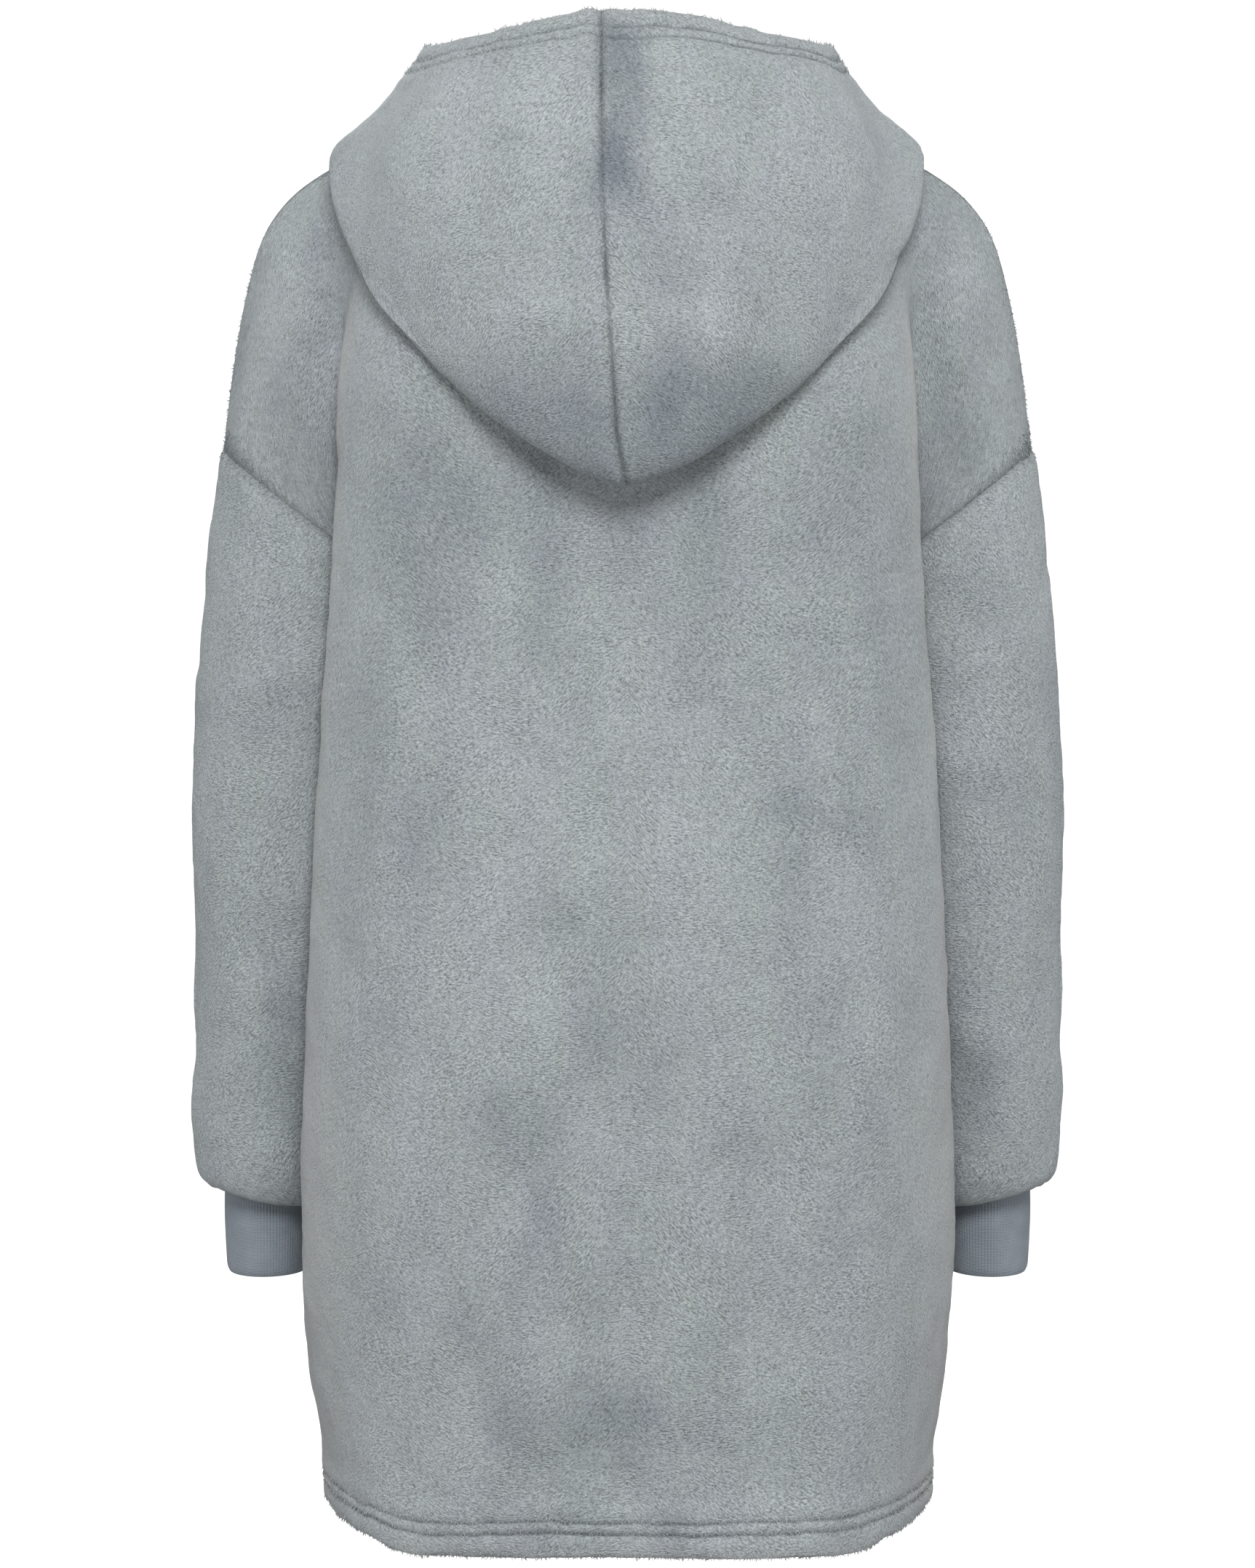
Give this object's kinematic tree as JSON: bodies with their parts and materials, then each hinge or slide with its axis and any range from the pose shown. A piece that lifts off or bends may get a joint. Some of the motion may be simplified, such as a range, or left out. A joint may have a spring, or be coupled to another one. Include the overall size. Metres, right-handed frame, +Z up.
{
  "type": "hooded blanket pullover",
  "caption": "Hooded fleece pullover, worn form without a wearer, hood down, dropped shoulders and rib cuffs.",
  "frame": {"origin": "between the shoulders on the middle plane, level with the high points of the shoulder seams beside the neck", "axes": "+Z up along the body, -Y towards the garment's front, +X towards the wearer's left"},
  "size_m": [0.542, 0.3165, 0.902],
  "materials": {
    "fleece": "short-pile flannel fleece, blue-grey, matte with a soft sheen",
    "rib_knit": "fine vertical rib knit, darker blue-grey, matte"
  },
  "bodies": {
    "root": {"back_panel": "fleece", "front_panel": "fleece", "sleeve_left": "fleece", "sleeve_right": "fleece", "cuff_left": "rib_knit", "cuff_right": "rib_knit", "hood_left": "fleece", "hood_right": "fleece"}
  },
  "joints": []
}
